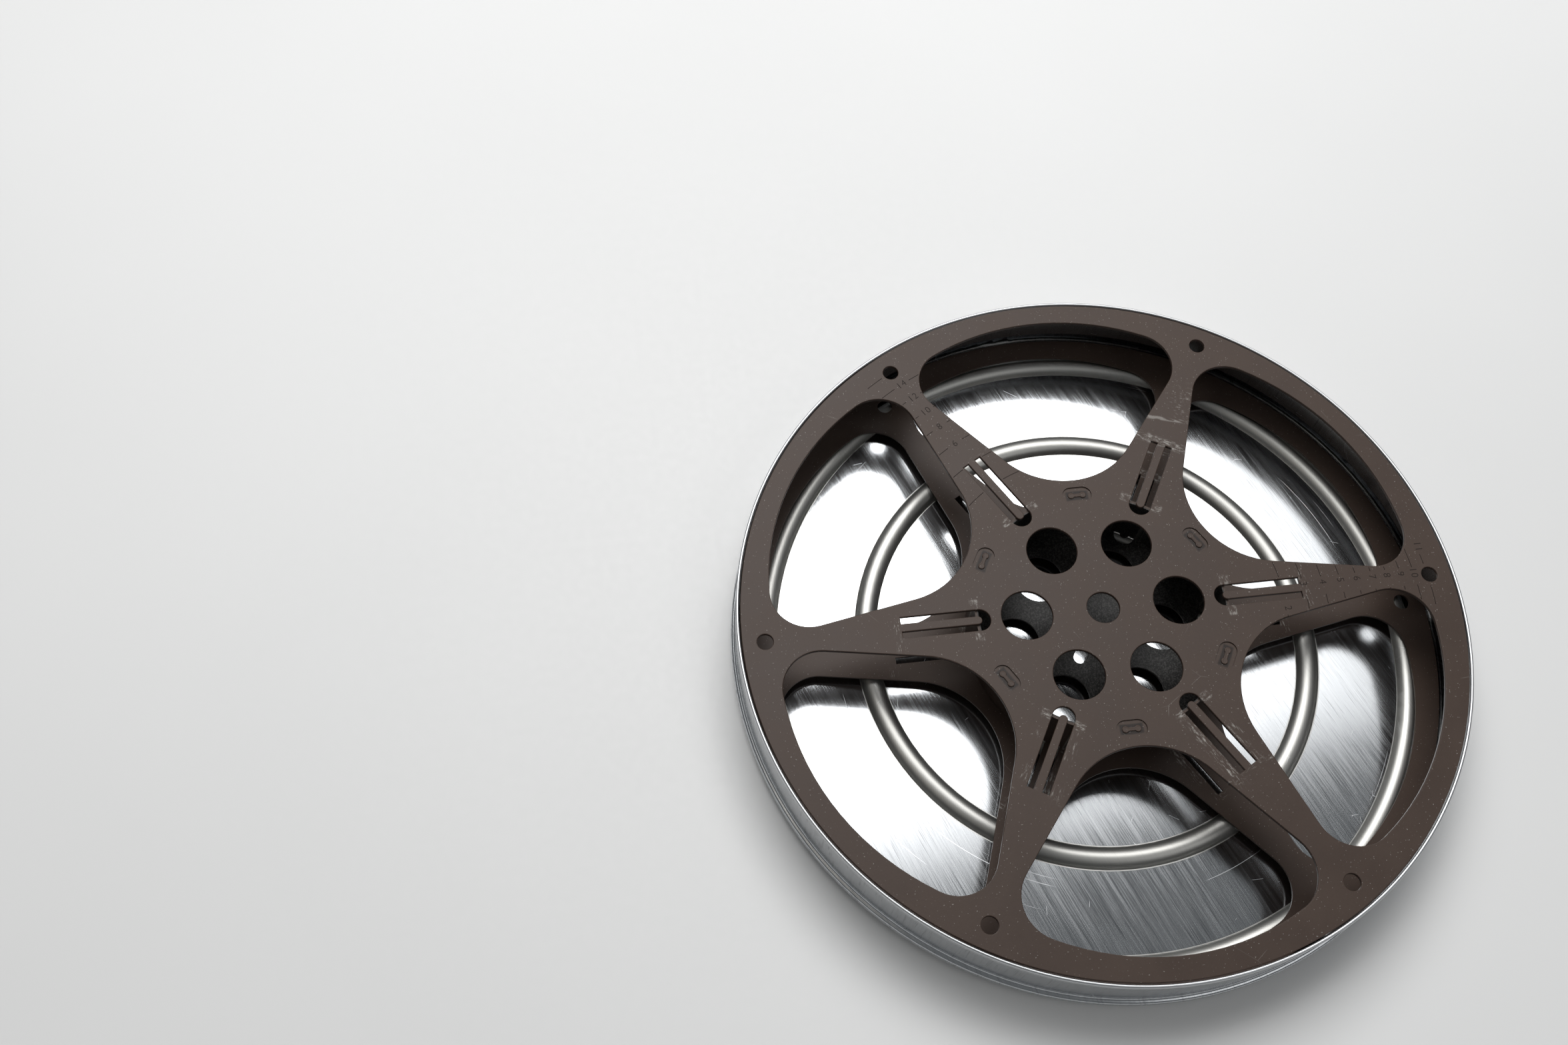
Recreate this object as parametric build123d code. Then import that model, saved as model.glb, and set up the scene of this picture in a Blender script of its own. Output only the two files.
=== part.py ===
from build123d import *
import math
import os

# A 16 mm cine film reel, 7 in across, lying in the open base of its storage can.
# Origin: centre of the can's underside, where it stands. +Z is the reel's axis, up.
# One spoke of the reel points along +X. Millimetres.

# ---- flanges ----
flange_r = 88.9               # 7.000 in across
sheet = 0.8                   # enamelled steel sheet
inner_width = 16.5            # film space between the flanges
spokes = 6
spoke_pitch = 360 / spokes
edge_round = 0.2              # softened edges of the stamped sheet

# ---- windows: one between each pair of spokes ----
window_lead = 0.4             # degrees that the windows sit ahead of the half pitch
window_near = 35.55           # axis to the window's inner end
window_far = 83.5             # axis to the window's outer edge
window_near_r = 21.15         # arc of the inner end
window_far_r = 63.3           # arc of the outer edge
window_corner_r = 9.6
window_side = 39.9            # degrees between a side and the window's centre line

# ---- holes ----
spindle_r = 4.064             # 0.320 in round hole in both flanges
keyway_w = 3.175              # 1/8 in keyway off the back flange's spindle hole
keyway_reach = 8.6            # axis to the keyway's rounded end
keyway_spoke = 4              # it points along this spoke, counted from +X
drive_circle_r = 19.05        # 1.5 in pitch circle
drive_hole_r = 6.35
rim_circle_r = 83.35
rim_hole_r = 2.0

# ---- U-shaped slot on each spoke, which frees a spring tongue ----
slot_in = 28.1                # axis to the rounded inner end
slot_out = 50.1               # axis to the tongue's root
slot_w = 5.5
tongue_w = 2.1
tongue_tip = 30.2

# ---- hub drum and its staked tabs ----
drum_r = 31.6                 # outside
drum_wall = 0.8
tab_w = 4.4
tab_gap = 0.05                # between a tab and its slot
dimple_l = 7.5                # recess that holds a tab's staked end
dimple_w = 4.5
dimple_depth = 0.35
tab_sink = 0.1                # staked end below the flange's face

# ---- can base ----
can_sheet = 0.5
can_wall_r = 90.0             # upper wall, where the lid's skirt sits
can_foot_r = 91.2             # lower band
can_h = 20.8
foot_round = 4.0              # outer corner between wall and floor
shoulder_low = 5.0            # shoulder between the lower band and the upper wall
shoulder_high = 6.4
hem_inner_r = 89.2
hem_depth = 1.3
bead_half_w = 2.8
bead_inner_circle = 31.2      # under the hub drum: the reel stands on it
bead_pitch = 25.6
seat_bead_h = 2.2
other_bead_h = 1.8

back_z = can_sheet + seat_bead_h               # underside of the reel, on the seat bead
drum_z = back_z + sheet
front_z = drum_z + inner_width
reel_top = front_z + sheet


def polar(radius, degrees):
    return (radius * math.cos(math.radians(degrees)), radius * math.sin(math.radians(degrees)))


def window_face():
    """A rounded wedge: inner arc, two straight sides, two corner arcs, outer arc."""
    side = math.radians(window_side)
    along = Vector(math.cos(side), math.sin(side))
    normal = Vector(-math.sin(side), math.cos(side))
    near_c = Vector(window_near + window_near_r, 0)
    far_c = Vector(window_far - window_far_r, 0)
    # The corner's centre is window_corner_r inside both the side and the outer arc.
    base = near_c + normal * (window_near_r - window_corner_r)
    gap = base - far_c
    b = gap.dot(along)
    run = -b + math.sqrt(b * b - gap.dot(gap) + (window_far_r - window_corner_r) ** 2)
    corner_c = base + along * run
    outward = (corner_c - far_c).normalized()
    side_start = near_c + normal * window_near_r
    side_end = corner_c + normal * window_corner_r
    corner_mid = corner_c + (normal + outward).normalized() * window_corner_r
    corner_end = corner_c + outward * window_corner_r

    def mirrored(point):
        return Vector(point.X, -point.Y)

    edges = [
        ThreePointArc(mirrored(side_start), Vector(window_near, 0), side_start),
        Line(side_start, side_end),
        ThreePointArc(side_end, corner_mid, corner_end),
        ThreePointArc(corner_end, Vector(window_far, 0), mirrored(corner_end)),
        ThreePointArc(mirrored(corner_end), mirrored(corner_mid), mirrored(side_end)),
        Line(mirrored(side_end), mirrored(side_start)),
    ]
    return make_face(Wire(edges))


def tongue_slot_face():
    """The U-shaped slot on the +X spoke: a blunt slot with the tongue left in it."""
    half = slot_w / 2
    straight = slot_out - slot_in - half
    slot = Pos(slot_in + half + straight / 2, 0) * Rectangle(straight, slot_w)
    slot += Pos(slot_in + half, 0) * Circle(half)
    tongue_half = tongue_w / 2
    tongue_l = slot_out - tongue_tip - tongue_half
    tongue = Pos(tongue_tip + tongue_half + tongue_l / 2, 0) * Rectangle(tongue_l, tongue_w)
    tongue += Pos(tongue_tip + tongue_half, 0) * Circle(tongue_half)
    return slot - tongue


def flange_blank(centre_hole):
    """The stamped sheet, with its outer face up at z = sheet and its inner face at z = 0."""
    face = Circle(flange_r) - centre_hole
    for k in range(spokes):
        spoke = k * spoke_pitch
        face -= Rot(0, 0, spoke + spoke_pitch / 2 + window_lead) * window_face()
        face -= Rot(0, 0, spoke) * tongue_slot_face()
        face -= Pos(*polar(drive_circle_r, spoke)) * Circle(drive_hole_r)
        face -= Pos(*polar(rim_circle_r, spoke)) * Circle(rim_hole_r)
    plate = extrude(face, sheet)
    plate = fillet(plate.edges().filter_by_position(Axis.Z, sheet, sheet), edge_round)
    tab_slot = Rectangle(drum_wall + 2 * tab_gap, tab_w + 2 * tab_gap)
    dimple = SlotOverall(dimple_l, dimple_w, rotation=90)
    for k in range(spokes):
        place = Rot(0, 0, (k + 0.5) * spoke_pitch) * Pos(drum_r - drum_wall / 2, 0)
        plate -= place * extrude(tab_slot, sheet)
        plate -= place * Pos(0, 0, sheet - dimple_depth) * extrude(dimple, dimple_depth)
    return plate


def keyed_hole():
    """The spindle hole with its keyway, a blunt slot that starts on the axis."""
    end_centre = keyway_reach - keyway_w / 2
    slot = Pos(end_centre / 2, 0) * Rectangle(end_centre, keyway_w)
    slot += Pos(end_centre, 0) * Circle(keyway_w / 2)
    return Circle(spindle_r) + Rot(0, 0, keyway_spoke * spoke_pitch) * slot


def front_flange():
    return Pos(0, 0, front_z) * flange_blank(Circle(spindle_r))


def back_flange():
    # The same sheet turned over. Mirroring keeps its windows in line with the front's.
    turned = mirror(flange_blank(keyed_hole()), Plane.XY)
    return Pos(0, 0, drum_z) * turned


def hub_drum():
    ring = Circle(drum_r) - Circle(drum_r - drum_wall)
    drum = Pos(0, 0, drum_z) * extrude(ring, inner_width)
    tab_h = sheet - tab_sink
    tab = Box(drum_wall, tab_w, tab_h)
    for k in range(spokes):
        place = Rot(0, 0, (k + 0.5) * spoke_pitch) * Pos(drum_r - drum_wall / 2, 0)
        drum += place * Pos(0, 0, front_z + tab_h / 2) * tab
        drum += place * Pos(0, 0, drum_z - tab_h / 2) * tab
    return drum


def bead_arc_radius(height):
    return (bead_half_w ** 2 + height ** 2) / (2 * height)


def floor_edges(level, shrink, end_r):
    """One skin of the floor, from the axis outward, with its three raised beads.

    shrink is 0 on the inner skin and the sheet's thickness on the underside.
    """
    edges = []
    start = Vector(0, level)
    for k in range(3):
        height = seat_bead_h if k == 0 else other_bead_h
        bead_r = bead_inner_circle + k * bead_pitch
        arc_r = bead_arc_radius(height)
        centre_z = can_sheet + height - arc_r
        skin_r = arc_r - shrink
        half = math.sqrt(skin_r ** 2 - (level - centre_z) ** 2)
        foot_in = Vector(bead_r - half, level)
        foot_out = Vector(bead_r + half, level)
        edges.append(Line(start, foot_in))
        edges.append(ThreePointArc(foot_in, Vector(bead_r, centre_z + skin_r), foot_out))
        start = foot_out
    edges.append(Line(start, Vector(end_r, level)))
    return edges


def wall_edges(offset, bottom, top):
    """One skin of the wall, upward. offset is 0 outside and the sheet's thickness inside."""
    foot = can_foot_r - offset
    wall = can_wall_r - offset
    corner = foot_round - offset
    corner_c = Vector(can_foot_r - foot_round, foot_round)
    diagonal = corner * math.sqrt(0.5)
    shoulder_mid = Vector((foot + wall) / 2, (shoulder_low + shoulder_high) / 2)
    return [
        ThreePointArc(
            Vector(corner_c.X, bottom),
            corner_c + Vector(diagonal, -diagonal),
            Vector(foot, foot_round),
        ),
        Line(Vector(foot, foot_round), Vector(foot, shoulder_low)),
        TangentArc(Vector(foot, shoulder_low), shoulder_mid, tangent=Vector(0, 1)),
        TangentArc(Vector(wall, shoulder_high), shoulder_mid, tangent=Vector(0, -1)),
        Line(Vector(wall, shoulder_high), Vector(wall, top)),
    ]


def can_base():
    """A drawn steel dish with a hemmed rim: one closed profile, turned about Z."""
    floor_end = can_foot_r - foot_round
    hem_w = can_wall_r - hem_inner_r
    hem_low = can_h - hem_depth
    rim_top = can_h - hem_w / 2
    outer = floor_edges(0, can_sheet, floor_end) + wall_edges(0, 0, rim_top)
    inner = floor_edges(can_sheet, 0, floor_end) + wall_edges(can_sheet, can_sheet, hem_low)
    hem = [
        ThreePointArc(
            Vector(can_wall_r, rim_top),
            Vector(can_wall_r - hem_w / 2, can_h),
            Vector(hem_inner_r, rim_top),
        ),
        Line(Vector(hem_inner_r, rim_top), Vector(hem_inner_r, hem_low)),
        Line(Vector(hem_inner_r, hem_low), Vector(can_wall_r - can_sheet, hem_low)),
    ]
    axis_edge = Line(Vector(0, 0), Vector(0, can_sheet))
    profile = make_face(Wire(outer + hem + inner + [axis_edge]))
    return revolve(Plane.XZ * profile, Axis.Z)


os.makedirs("parts", exist_ok=True)
nodes = {
    "front_flange": front_flange(),
    "back_flange": back_flange(),
    "hub_drum": hub_drum(),
    "can_base": can_base(),
}
for name, shape in nodes.items():
    export_step(shape, f"parts/{name}.step")
    print(name, round(shape.volume, 1), shape.bounding_box())
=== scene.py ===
import math

import bmesh
import bpy
from mathutils import Matrix, Vector
from mathutils.bvhtree import BVHTree


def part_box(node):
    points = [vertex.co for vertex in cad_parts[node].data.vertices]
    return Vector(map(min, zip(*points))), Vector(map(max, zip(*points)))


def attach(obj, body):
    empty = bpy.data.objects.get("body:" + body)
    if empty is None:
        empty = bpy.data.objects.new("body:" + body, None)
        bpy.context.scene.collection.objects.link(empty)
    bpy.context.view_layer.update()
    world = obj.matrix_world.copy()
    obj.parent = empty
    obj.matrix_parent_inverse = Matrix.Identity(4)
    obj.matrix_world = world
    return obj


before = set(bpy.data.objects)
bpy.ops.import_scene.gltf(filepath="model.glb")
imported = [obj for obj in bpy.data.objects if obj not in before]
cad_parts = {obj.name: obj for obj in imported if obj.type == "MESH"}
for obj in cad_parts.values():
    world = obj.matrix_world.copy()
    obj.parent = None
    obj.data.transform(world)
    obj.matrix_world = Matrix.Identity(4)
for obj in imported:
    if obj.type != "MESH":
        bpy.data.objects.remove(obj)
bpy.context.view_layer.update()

# ---- sizes, in metres, from the frame ----
mm = 0.001
front_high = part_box("front_flange")[1]
back_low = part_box("back_flange")[0]
drum_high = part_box("hub_drum")[1]
can_low, can_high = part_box("can_base")
drum_r = drum_high.x

# ---- sizes of the stamped flange that the frame doesn't give ----
spokes = 6
spoke_pitch = 2 * math.pi / spokes
drum_wall = 0.8 * mm
slot_in = 28.1                # the rest of this group is in millimetres, for the shader nodes
slot_out = 50.1
slot_w = 5.5
dimple_mm = 0.35
front_level = front_high.z / mm
back_level = back_low.z / mm
bead_circles = (31.2, 56.8, 82.4)
bead_half_w = 2.8
shoulder_low = 5.0
rim_clean_z = 18.6            # above this the wall turns over into its clean rim


# ---------------------------------------------------------------- shader helper

class Net:
    """One material's node tree. Its place is the object coordinate in millimetres."""

    def __init__(self, name):
        self.material = bpy.data.materials.new(name)
        self.material.use_nodes = True
        self.tree = self.material.node_tree
        self.tree.nodes.clear()
        self.shader = self.node("ShaderNodeBsdfPrincipled")
        output = self.node("ShaderNodeOutputMaterial")
        self.tree.links.new(self.shader.outputs["BSDF"], output.inputs["Surface"])
        coordinate = self.node("ShaderNodeTexCoord").outputs["Object"]
        self.place = self.vector("SCALE", coordinate, 1 / mm)
        split = self.node("ShaderNodeSeparateXYZ")
        self.put(split.inputs["Vector"], self.place)
        self.x, self.y, self.z = split.outputs
        self.radius = self.math("SQRT", self.math("ADD", self.square(self.x), self.square(self.y)))
        self.turn = self.math("ARCTAN2", self.y, self.x)

    def node(self, kind, **settings):
        made = self.tree.nodes.new(kind)
        for name, value in settings.items():
            setattr(made, name, value)
        return made

    def put(self, socket, value):
        if isinstance(value, bpy.types.NodeSocket):
            self.tree.links.new(value, socket)
        else:
            socket.default_value = value

    def set(self, **values):
        """Values or links on the shader's own sockets: base_color sets Base Color."""
        for name, value in values.items():
            self.put(self.shader.inputs[name.replace("_", " ").title()], value)

    def math(self, operation, *values):
        made = self.node("ShaderNodeMath", operation=operation)
        for socket, value in zip(made.inputs, values):
            self.put(socket, value)
        return made.outputs[0]

    def square(self, value):
        return self.math("MULTIPLY", value, value)

    def times(self, *values):
        product = values[0]
        for value in values[1:]:
            product = self.math("MULTIPLY", product, value)
        return product

    def most(self, *values):
        largest = values[0]
        for value in values[1:]:
            largest = self.math("MAXIMUM", largest, value)
        return largest

    def vector(self, operation, value, scale):
        made = self.node("ShaderNodeVectorMath", operation=operation)
        self.put(made.inputs[0], value)
        self.put(made.inputs["Scale"], scale)
        return made.outputs[0]

    def combine(self, x, y, z):
        made = self.node("ShaderNodeCombineXYZ")
        for socket, value in zip(made.inputs, (x, y, z)):
            self.put(socket, value)
        return made.outputs[0]

    def mapped(self, rotation=(0, 0, 0), scale=(1, 1, 1), location=(0, 0, 0)):
        """The place, turned by rotation in radians, stretched and moved. Scale is per millimetre."""
        turned = self.node("ShaderNodeMapping", vector_type="POINT")
        self.put(turned.inputs["Vector"], self.place)
        turned.inputs["Rotation"].default_value = rotation
        stretched = self.node("ShaderNodeMapping", vector_type="POINT")
        self.put(stretched.inputs["Vector"], turned.outputs[0])
        stretched.inputs["Scale"].default_value = scale
        stretched.inputs["Location"].default_value = location
        return stretched.outputs[0]

    def noise(self, vector, scale=1.0, detail=2.0, roughness=0.5, distortion=0.0):
        made = self.node("ShaderNodeTexNoise")
        self.put(made.inputs["Vector"], vector)
        for name, value in (("Scale", scale), ("Detail", detail), ("Roughness", roughness),
                            ("Distortion", distortion)):
            made.inputs[name].default_value = value
        return made.outputs["Fac"]

    def cell_edges(self, vector, scale, width):
        """Thin lines along the edges of random cells: 1 on a line, 0 away from it."""
        made = self.node("ShaderNodeTexVoronoi", feature="DISTANCE_TO_EDGE")
        self.put(made.inputs["Vector"], vector)
        made.inputs["Scale"].default_value = scale
        return self.ramp(made.outputs["Distance"], width * scale, 0.0)

    def ramp(self, value, low, high, to_low=0.0, to_high=1.0):
        """A smooth step from to_low at low to to_high at high."""
        made = self.node("ShaderNodeMapRange", interpolation_type="SMOOTHSTEP")
        for name, number in (("Value", value), ("From Min", low), ("From Max", high),
                             ("To Min", to_low), ("To Max", to_high)):
            self.put(made.inputs[name], number)
        return made.outputs["Result"]

    def band(self, value, centre, half, soft):
        """1 within half of centre, fading to 0 over soft."""
        away = self.math("ABSOLUTE", self.math("SUBTRACT", value, centre))
        return self.ramp(away, half + soft, half)

    def blend(self, factor, low, high):
        """From colour low at 0 to colour high at 1."""
        made = self.node("ShaderNodeMix", data_type="RGBA")
        sockets = [s for s in made.inputs if s.type == "RGBA"]
        self.put(made.inputs["Factor"], factor)
        for socket, value in zip(sockets, (low, high)):
            self.put(socket, value if isinstance(value, bpy.types.NodeSocket) else (*value, 1.0))
        return next(s for s in made.outputs if s.type == "RGBA")

    def bump(self, height, depth_mm, normal=None):
        """A relief of depth_mm from height 0 to height 1."""
        made = self.node("ShaderNodeBump")
        made.inputs["Strength"].default_value = 1.0
        made.inputs["Distance"].default_value = depth_mm * mm
        self.put(made.inputs["Height"], height)
        if normal is not None:
            self.put(made.inputs["Normal"], normal)
        return made.outputs["Normal"]


# ---------------------------------------------------------------- materials

def enamel_material():
    """Brown stoved enamel: satin, mottled, dusty, and rubbed pale in smears round the slots."""
    net = Net("brown_enamel")
    # Distances along and across the nearest spoke's centre line.
    steps = net.math("ROUND", net.math("DIVIDE", net.turn, spoke_pitch))
    off = net.math("SUBTRACT", net.turn, net.math("MULTIPLY", steps, spoke_pitch))
    along = net.math("MULTIPLY", net.radius, net.math("COSINE", off))
    across = net.math("MULTIPLY", net.radius, net.math("SINE", off))
    side = net.math("ABSOLUTE", across)
    # 1 on the spoke that points 60 degrees from +X, and on the two nearest the can's front.
    on_60 = net.band(net.turn, spoke_pitch, 0.3, 0.02)
    on_240 = net.band(net.turn, -2 * spoke_pitch, 0.3, 0.02)
    on_300 = net.band(net.turn, -spoke_pitch, 0.3, 0.02)

    # Smears are drawn out across the spoke, and the tongue's rub runs along it.
    crosswise = net.combine(net.times(along, 1.5), net.times(across, 0.45), net.times(steps, 7.0))
    lengthwise = net.combine(net.times(along, 0.4), net.times(across, 1.7), net.times(steps, 5.0))
    flecks = net.ramp(net.noise(crosswise, 1.0, 5.0, 0.72), 0.46, 0.66)
    sparse = net.ramp(net.noise(crosswise, 1.3, 5.0, 0.72), 0.54, 0.70)
    drawn = net.ramp(net.noise(lengthwise, 1.0, 4.0, 0.7), 0.50, 0.68)
    patches = net.ramp(net.noise(net.place, 0.16, 1.0), 0.42, 0.60)
    tip_rub = net.times(
        net.band(side, slot_w / 2 + 1.3, 0.9, 0.7), net.band(along, 31.5, 0.7, 0.7), flecks)
    root_rub = net.times(
        net.band(side, 3.0, 2.6, 1.6), net.band(along, slot_out + 0.8, 0.5, 1.1), sparse, patches)
    root_60 = net.times(on_60, net.band(along, slot_out + 0.6, 0.6, 1.2), flecks)
    slanted = net.math("ADD", along, net.times(across, 0.25))
    ring_60 = net.times(
        on_60, net.band(slanted, 58.2, 0.25, 0.55), net.ramp(net.noise(crosswise, 0.8, 3.0), 0.40, 0.60))
    edge_60 = net.times(on_60, net.band(along, 65.0, 2.5, 4.5), net.ramp(across, 3.5, -3.5), sparse)
    slot_rub = net.times(
        net.most(on_240, on_300), net.band(side, slot_w / 2 + 0.9, 0.9, 1.2),
        net.band(along, 42.0, 6.0, 6.0), drawn, patches)
    rub = net.most(tip_rub, root_rub, root_60, net.times(ring_60, 0.6), edge_60, slot_rub)

    dust = net.ramp(net.noise(net.place, 2.9, 0.0), 0.80, 0.82)
    hairs = net.times(
        net.cell_edges(net.place, 0.045, 0.07),
        net.ramp(net.noise(net.place, 0.09, 1.0), 0.63, 0.70))
    mottle = net.noise(net.place, 0.05, 4.0, 0.6)
    grain = net.noise(net.place, 3.0, 2.0, 0.6)

    brown = net.blend(net.ramp(mottle, 0.3, 0.7), (0.055, 0.037, 0.029), (0.067, 0.046, 0.036))
    brown = net.blend(net.times(grain, 0.35), brown, (0.082, 0.058, 0.047))

    # Inside the drum the colour is near black, with fine paler specks.
    inside = net.times(
        net.ramp(net.radius, 31.1, 31.0), net.ramp(net.z, 3.2, 3.4), net.ramp(net.z, 20.2, 19.95))
    specks = net.ramp(net.noise(net.place, 2.4, 3.0, 0.7), 0.42, 0.66)
    drum_inside_colour = net.blend(specks, (0.020, 0.019, 0.018), (0.085, 0.082, 0.078))
    brown = net.blend(inside, brown, drum_inside_colour)

    # Painted shadow of the gap round each staked tab: near-black painted shade on the floors of their
    # dimples.
    tab_steps = net.math("ADD", net.math("FLOOR", net.math("DIVIDE", net.turn, spoke_pitch)), 0.5)
    tab_off = net.math("SUBTRACT", net.turn, net.math("MULTIPLY", tab_steps, spoke_pitch))
    tab_side = net.math("ABSOLUTE", net.math("MULTIPLY", net.radius, net.math("SINE", tab_off)))
    on_dimple = net.most(
        net.band(net.z, front_level - dimple_mm, 0.05, 0.05),
        net.band(net.z, back_level + dimple_mm, 0.05, 0.05))
    painted_shade = net.times(net.ramp(tab_side, 3.2, 2.5), net.band(net.radius, 31.2, 1.0, 0.5), on_dimple)
    # Near-black painted shadow round the tab ends.
    brown = net.blend(net.times(painted_shade, 0.8), brown, (0.012, 0.009, 0.008))

    pale = (0.42, 0.40, 0.37)
    worn = net.most(net.times(rub, 0.75), net.times(dust, 0.45), net.times(hairs, 0.18))
    net.set(base_color=net.blend(worn, brown, pale))
    net.set(roughness=net.ramp(mottle, 0.2, 0.8, 0.40, 0.48))
    peel = net.noise(net.place, 1.1, 2.0)
    net.set(normal=net.bump(net.math("ADD", peel, net.times(rub, 0.5)), 0.012))
    net.shader.inputs["Specular IOR Level"].default_value = 0.20
    return net.material


def stamp_material():
    """The strokes of the scales' marks: painted shade of their stamped grooves, dark brown that varies in
    tone.
    """
    net = Net("stamped_groove_shade")
    painted_shade = net.noise(net.place, 1.5, 3.0)
    # Painted shade: near-black brown that stands in for the shadow in the stamped grooves.
    net.set(base_color=net.blend(painted_shade, (0.014, 0.010, 0.008), (0.030, 0.022, 0.018)))
    net.set(roughness=net.ramp(painted_shade, 0.2, 0.8, 0.5, 0.65))
    net.shader.inputs["Specular IOR Level"].default_value = 0.12
    return net.material


def steel_material():
    """Tinned steel sheet: mirror-bright, with one straight rolling grain, worn by the reels in it."""
    net = Net("can_steel")
    grain_turn = math.radians(-111.5)     # brings the rolling direction onto +X
    fine = net.noise(net.mapped((0, 0, grain_turn), (0.06, 4.2, 0.06)), 1.0, 3.0, 0.6)
    broad = net.noise(net.mapped((0, 0, grain_turn), (0.03, 0.9, 0.03), (7, 3, 0)), 1.0, 2.0)
    dark_lines = net.ramp(
        net.noise(net.mapped((0, 0, grain_turn), (0.10, 4.4, 0.10), (3, 9, 1)), 1.0, 1.0), 0.40, 0.30)

    # Long thin arcs that the rim of a turning reel leaves, and short random scratches.
    around = net.combine(
        net.times(net.math("COSINE", net.turn), 1.2),
        net.times(net.math("SINE", net.turn), 1.2),
        net.times(net.radius, 2.2))
    arcs = net.ramp(net.noise(around, 1.0, 0.0), 0.77, 0.80)
    arcs = net.times(arcs, net.ramp(net.radius, 60.0, 66.0))
    short = net.times(
        net.cell_edges(net.mapped((0, 0, 0.4), (1, 1, 1), (5, 2, 0)), 0.11, 0.06),
        net.ramp(net.noise(net.place, 0.22, 1.0), 0.64, 0.70))
    crossing = net.times(
        net.cell_edges(net.mapped((0, 0, 1.3), (1, 0.6, 1), (1, 8, 0)), 0.06, 0.06),
        net.ramp(net.noise(net.mapped((0, 0, 0), (1, 1, 1), (40, 9, 0)), 0.15, 1.0), 0.63, 0.69))
    below_rim = net.ramp(net.z, rim_clean_z + 0.6, rim_clean_z)
    scratches = net.times(net.most(arcs, short, crossing), below_rim)

    on_floor = net.ramp(net.z, 3.2, 2.6)
    beads = net.most(*[net.band(net.radius, circle, bead_half_w, 0.5) for circle in bead_circles])
    beads = net.times(beads, on_floor)
    wall = net.times(net.ramp(net.radius, 88.4, 89.0), net.ramp(net.z, 2.0, 4.0))
    lower_band = net.times(
        net.ramp(net.z, shoulder_low + 0.6, shoulder_low), net.ramp(net.radius, 90.8, 91.1))

    bright = net.blend(net.ramp(fine, 0.3, 0.7), (0.50, 0.515, 0.53), (0.58, 0.595, 0.61))
    bright = net.blend(net.times(dark_lines, 0.5), bright, (0.24, 0.245, 0.26))
    bright = net.blend(below_rim, (0.58, 0.59, 0.60), bright)
    # Painted reflection: the beads' darker warm grey stands in for the warm tone they reflect.
    bright = net.blend(net.times(beads, 0.8), bright, (0.41, 0.40, 0.37))
    net.set(base_color=net.blend(net.times(scratches, 0.6), bright, (0.80, 0.81, 0.83)))
    grain = net.math("ADD", net.times(fine, 0.6), net.times(broad, 0.4))
    roughness = net.ramp(grain, 0.3, 0.7, 0.10, 0.19)
    rim = net.math("SUBTRACT", 1.0, below_rim)
    roughness = net.most(
        roughness, net.times(beads, 0.42), net.times(scratches, 0.40), net.times(lower_band, 0.36),
        net.times(wall, 0.22), net.times(rim, 0.38))
    net.set(roughness=roughness)
    relief = net.math("ADD", fine, net.times(scratches, 0.8))
    net.set(normal=net.bump(net.times(relief, below_rim), 0.00015))
    net.shader.inputs["Metallic"].default_value = 1.0
    return net.material


def table_material():
    net = Net("pale_table")
    cloudy = net.noise(net.place, 0.004, 4.0)
    net.set(base_color=net.blend(net.ramp(cloudy, 0.3, 0.7), (0.79, 0.79, 0.785), (0.82, 0.82, 0.815)))
    net.set(roughness=net.ramp(net.noise(net.place, 0.5, 2.0), 0.3, 0.7, 0.52, 0.62))
    return net.material


# ---------------------------------------------------------------- mesh helpers

def new_piece(name, mesh_data, material, body):
    piece = bpy.data.objects.new(name, mesh_data)
    bpy.context.scene.collection.objects.link(piece)
    piece.data.materials.append(material)
    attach(piece, body)
    return piece


def mesh_from(bm, name):
    bmesh.ops.recalc_face_normals(bm, faces=bm.faces)
    mesh_data = bpy.data.meshes.new(name)
    bm.to_mesh(mesh_data)
    bm.free()
    for face in mesh_data.polygons:
        face.use_smooth = True
    return mesh_data


def stack_rings(bm, rings):
    """Closed skin through rings of points, lowest first, with a flat cap on each end."""
    made = [[bm.verts.new(point) for point in ring] for ring in rings]
    for low, high in zip(made, made[1:]):
        for k in range(len(low)):
            after = (k + 1) % len(low)
            bm.faces.new((low[k], low[after], high[after], high[k]))
    bm.faces.new(list(reversed(made[0])))
    bm.faces.new(made[-1])


# ---------------------------------------------------------------- can's hem

def can_hem(material):
    """The turned-over edge of the can's wall, a smooth skin just proud of the CAD rim."""
    hem_centre_r = 89.6 * mm
    hem_centre_z = can_high.z - 0.4 * mm
    hem_r = 0.43 * mm
    hem_drop = 0.85 * mm          # straight sides below the rounded top
    around = 360
    section = [(hem_r, -hem_drop)]
    for k in range(13):
        angle = math.pi * k / 12
        section.append((hem_r * math.cos(angle), hem_r * math.sin(angle)))
    section.append((-hem_r, -hem_drop))
    bm = bmesh.new()
    rows = []
    for k in range(around):
        turn = 2 * math.pi * k / around
        row = []
        for out, up in section:
            r = hem_centre_r + out
            row.append(bm.verts.new((r * math.cos(turn), r * math.sin(turn), hem_centre_z + up)))
        rows.append(row)
    for low, high in zip(rows, rows[1:] + rows[:1]):
        for k in range(len(section)):
            after = (k + 1) % len(section)
            bm.faces.new((low[k], low[after], high[after], high[k]))
    return new_piece("can_hem", mesh_from(bm, "can_hem"), material, "can")


# ---------------------------------------------------------------- staked tab ends

tab_half = 1.5 * mm           # centre to the middle of each hammered lobe
tab_lobe_r = 0.84 * mm
tab_waist = 0.46 * mm         # half the width between the lobes
lobe_steps = 14


def tab_outline(inset):
    """The hammered end seen from outside: a bar with a round lobe at each end."""
    lobe_r = tab_lobe_r - inset
    waist = max(tab_waist - inset, 0.1 * mm)
    start = math.asin(waist / lobe_r)
    points = []
    for side in (1, -1):
        for k in range(lobe_steps + 1):
            angle = (math.pi - start) * (2 * k / lobe_steps - 1)
            centre = Vector((0, side * tab_half))
            points.append(centre + side * lobe_r * Vector((-math.sin(angle), math.cos(angle))))
    return points


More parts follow.
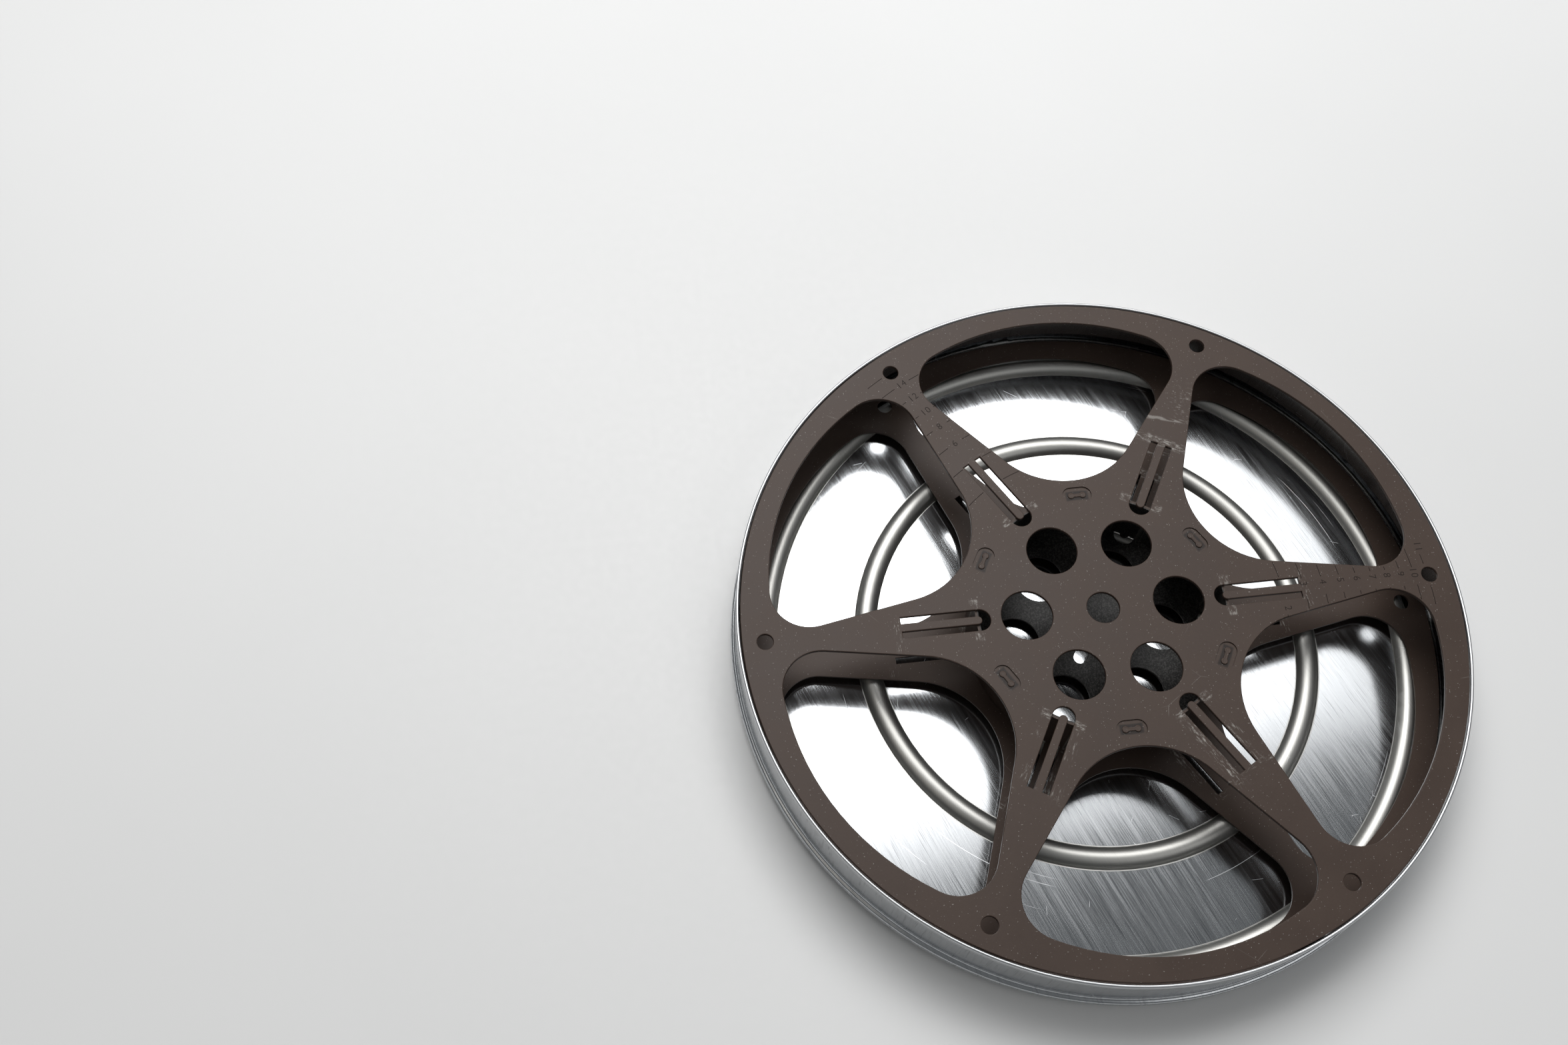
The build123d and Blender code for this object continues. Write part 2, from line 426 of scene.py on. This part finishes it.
def tab_end(name, angle, level, outward, material):
    """One tab end in its dimple. outward is 1 on the front flange and -1 on the back."""
    floor_z = level - outward * dimple_mm * mm
    crown = 0.28 * mm
    # Each ring's inset in millimetres, and its share of the crown's height.
    layers = [
        (0.0, 0.0), (0.0, 0.55), (0.06, 0.80), (0.16, 0.96), (0.28, 1.0), (0.40, 0.80), (0.52, 0.72)]
    centre_r = drum_r - drum_wall / 2
    place = Matrix.Rotation(angle, 4, "Z") @ Matrix.Translation((centre_r, 0, 0))
    bm = bmesh.new()
    rings = []
    for inset, share in layers:
        z = floor_z + outward * crown * share
        rings.append([place @ Vector((p.x, p.y, z)) for p in tab_outline(inset * mm)])
    stack_rings(bm, rings)
    return new_piece(name, mesh_from(bm, name), material, "reel")


# ---------------------------------------------------------------- running-time scale

minute_area_sound = 532 * mm * mm     # how much r squared grows for each minute of film at 24 frames a second
minute_area_silent = 372 * mm * mm    # and at 16 frames a second
stroke_w = 0.20 * mm
stroke_h = 0.015 * mm
numeral_h = 1.9 * mm


def scale_radius(minutes, minute_area):
    return math.sqrt(drum_r ** 2 + minute_area * minutes)


def arc_stroke(bm, radius, start, end):
    """A thin raised line along an arc, from angle start to angle end."""
    steps = max(3, int(abs(end - start) * radius / (0.5 * mm)))
    section = [(-0.5, 0.0), (-0.25, 1.0), (0.25, 1.0), (0.5, 0.0)]
    rows = []
    for k in range(steps + 1):
        angle = start + (end - start) * k / steps
        row = []
        for offset, height in section:
            r = radius + offset * stroke_w
            z = front_high.z + (height - 0.2) * stroke_h
            row.append(bm.verts.new((r * math.cos(angle), r * math.sin(angle), z)))
        rows.append(row)
    for low, high in zip(rows, rows[1:]):
        for k in range(len(section)):
            after = (k + 1) % len(section)
            bm.faces.new((low[k], low[after], high[after], high[k]))
    bm.faces.new(rows[0])
    bm.faces.new(list(reversed(rows[-1])))


def scale_ticks(name, spoke_angle, ticks, material):
    """ticks lists (radius, lowest across, highest across), in metres, on the spoke at spoke_angle."""
    bm = bmesh.new()
    for radius, low, high in ticks:
        start = spoke_angle + math.asin(low / radius)
        end = spoke_angle + math.asin(high / radius)
        arc_stroke(bm, radius, start, end)
    return new_piece(name, mesh_from(bm, name), material, "reel")


def numeral(name, text, spoke_angle, radius, across, material):
    """A number in thin relief. Its head points outward and it reads clockwise."""
    curve = bpy.data.curves.new(name, "FONT")
    curve.body = text
    curve.size = numeral_h * 1.38
    curve.align_x = "CENTER"
    curve.align_y = "CENTER"
    curve.space_character = 1.15
    curve.extrude = stroke_h / 2
    curve.resolution_u = 3
    curve.offset = -0.02 * mm
    drawn = bpy.data.objects.new(name + "_text", curve)
    bpy.context.scene.collection.objects.link(drawn)
    mesh_data = bpy.data.meshes.new_from_object(drawn)
    bpy.data.objects.remove(drawn)
    place = (
        Matrix.Rotation(spoke_angle, 4, "Z")
        @ Matrix.Translation((radius, across, front_high.z + stroke_h * 0.4))
        @ Matrix.Rotation(-math.pi / 2, 4, "Z")
    )
    mesh_data.transform(place)
    mesh_data.materials.clear()
    return new_piece(name, mesh_data, material, "reel")


def sheet_side(tree, spoke_angle, radius, side):
    """How far a mark at a radius may run to one side (1 or -1) of its spoke and stay on the flange."""
    step = 0.1 * mm
    margin = 0.4 * mm             # clear of the sheet's rounded edge
    across = 3.3 * mm             # the least it gives, even where the spoke is narrower
    longest = 11 * mm
    while across < longest:
        angle = spoke_angle + side * math.asin((across + margin) / radius)
        above = Vector((radius * math.cos(angle), radius * math.sin(angle), front_high.z + mm))
        hit = tree.ray_cast(above, Vector((0, 0, -1)), 1.01 * mm)[0]
        if hit is None:
            break
        across += step
    return across


def running_time_scales(material):
    """Minutes of film left, read where the wound film ends: one spoke for sound speed, one for silent."""
    gap = 2.4 * mm
    beside_slot = -5.1 * mm       # the first numeral and the last stand aside of the slot and the rim hole
    beside_hole = 7.8 * mm
    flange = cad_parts["front_flange"].data
    tree = BVHTree.FromPolygons([v.co for v in flange.vertices], [p.vertices for p in flange.polygons])
    ticks = []
    for minutes in range(2, 12):
        radius = scale_radius(minutes, minute_area_sound)
        left = sheet_side(tree, 0, radius, 1)
        right = sheet_side(tree, 0, radius, -1)
        across = 0.9 * mm
        if minutes == 2:
            across = beside_slot
            ticks += [(radius, 3.3 * mm, left), (radius, -right, beside_slot - gap)]
        elif minutes == 11:
            across = beside_hole
            ticks += [(radius, 3.0 * mm, 5.6 * mm), (radius, -8.0 * mm, -3.0 * mm)]
        else:
            ticks += [(radius, gap, left), (radius, -right, -gap)]
        numeral(f"sound_minutes_{minutes}", str(minutes), 0, radius, across, material)
    scale_ticks("sound_ticks", 0, ticks, material)
    ticks = []
    for minutes in range(2, 17, 2):
        radius = scale_radius(minutes, minute_area_silent)
        left = sheet_side(tree, 2 * spoke_pitch, radius, 1)
        right = sheet_side(tree, 2 * spoke_pitch, radius, -1)
        if minutes in (2, 4):
            ticks += [(radius, 3.3 * mm, left), (radius, -right, -3.3 * mm)]
        elif minutes == 16:
            ticks += [(radius, 3.0 * mm, 8.0 * mm)]
        else:
            ticks += [(radius, gap, left), (radius, -right, -gap)]
            numeral(f"silent_minutes_{minutes}", str(minutes), 2 * spoke_pitch, radius, 0, material)
    scale_ticks("silent_ticks", 2 * spoke_pitch, ticks, material)


# ---------------------------------------------------------------- studio

softbox_turn = math.radians(11)


def area_light(name, place, size, power, colour):
    """A soft panel that faces straight down, turned with the softbox."""
    light = bpy.data.lights.new(name, "AREA")
    light.shape = "RECTANGLE"
    light.size, light.size_y = size
    light.energy = power
    light.color = colour
    panel = bpy.data.objects.new(name, light)
    panel.location = place
    panel.rotation_euler = (0, 0, softbox_turn)
    bpy.context.scene.collection.objects.link(panel)


def build_studio():
    size = 6.0
    bm = bmesh.new()
    bmesh.ops.create_grid(bm, x_segments=24, y_segments=24, size=size / 2)
    mesh_data = mesh_from(bm, "table_top")
    table = bpy.data.objects.new("table_top", mesh_data)
    bpy.context.scene.collection.objects.link(table)
    table.location = (0, 0, can_low.z)
    mesh_data.materials.append(table_material())

    world = bpy.data.worlds.new("studio_air")
    world.use_nodes = True
    background = world.node_tree.nodes["Background"]
    background.inputs["Color"].default_value = (0.93, 0.97, 1.0, 1.0)
    background.inputs["Strength"].default_value = 0.16
    bpy.context.scene.world = world

    # Three panels in one softbox make it dimmer towards its border. A warm light stands on the left.
    light_height = 1.0
    white = (1.0, 1.0, 1.0)
    cream = (1.0, 0.90, 0.76)
    area_light("softbox_border", (0.014, 0.665, light_height), (1.14, 1.02), 5.8, white)
    area_light("softbox_middle", (-0.016, 0.651, 0.999), (0.94, 0.90), 2.6, white)
    area_light("softbox_core", (-0.016, 0.651, 0.998), (0.74, 0.74), 6.0, white)
    area_light("warm_side", (-0.65, -0.18, light_height), (0.45, 0.60), 0.4, cream)
    area_light("right_fill", (0.55, -0.45, 0.9), (0.60, 0.60), 1.1, white)


def build_camera():
    place = Vector((-104.5, -130.1, 350.0)) * mm
    aim = Vector((-75.0, 31.3, 20.8)) * mm
    roll = math.radians(3.84)
    camera_data = bpy.data.cameras.new("camera")
    camera_data.sensor_width = 36
    camera_data.lens = 33.785
    camera_data.clip_start = 0.01
    camera = bpy.data.objects.new("camera", camera_data)
    camera.rotation_mode = "QUATERNION"
    camera.location = place
    level = (aim - place).to_track_quat("-Z", "Y")
    camera.rotation_quaternion = level @ Matrix.Rotation(roll, 4, "Z").to_quaternion()
    bpy.context.scene.collection.objects.link(camera)
    bpy.context.scene.camera = camera


# ---------------------------------------------------------------- assembly

def paint_node(node, material):
    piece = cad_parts[node]
    piece.data.materials.clear()
    piece.data.materials.append(material)


build_camera()
build_studio()
enamel = enamel_material()
stamped = stamp_material()
steel = steel_material()
for node in ("front_flange", "back_flange", "hub_drum"):
    paint_node(node, enamel)
paint_node("can_base", steel)
can_hem(steel)
for k in range(spokes):
    angle = (k + 0.5) * spoke_pitch
    tab_end(f"front_tab_end_{k + 1}", angle, front_high.z, 1, enamel)
    tab_end(f"back_tab_end_{k + 1}", angle, back_low.z, -1, enamel)
running_time_scales(stamped)

bpy.context.scene.view_settings.view_transform = "Standard"
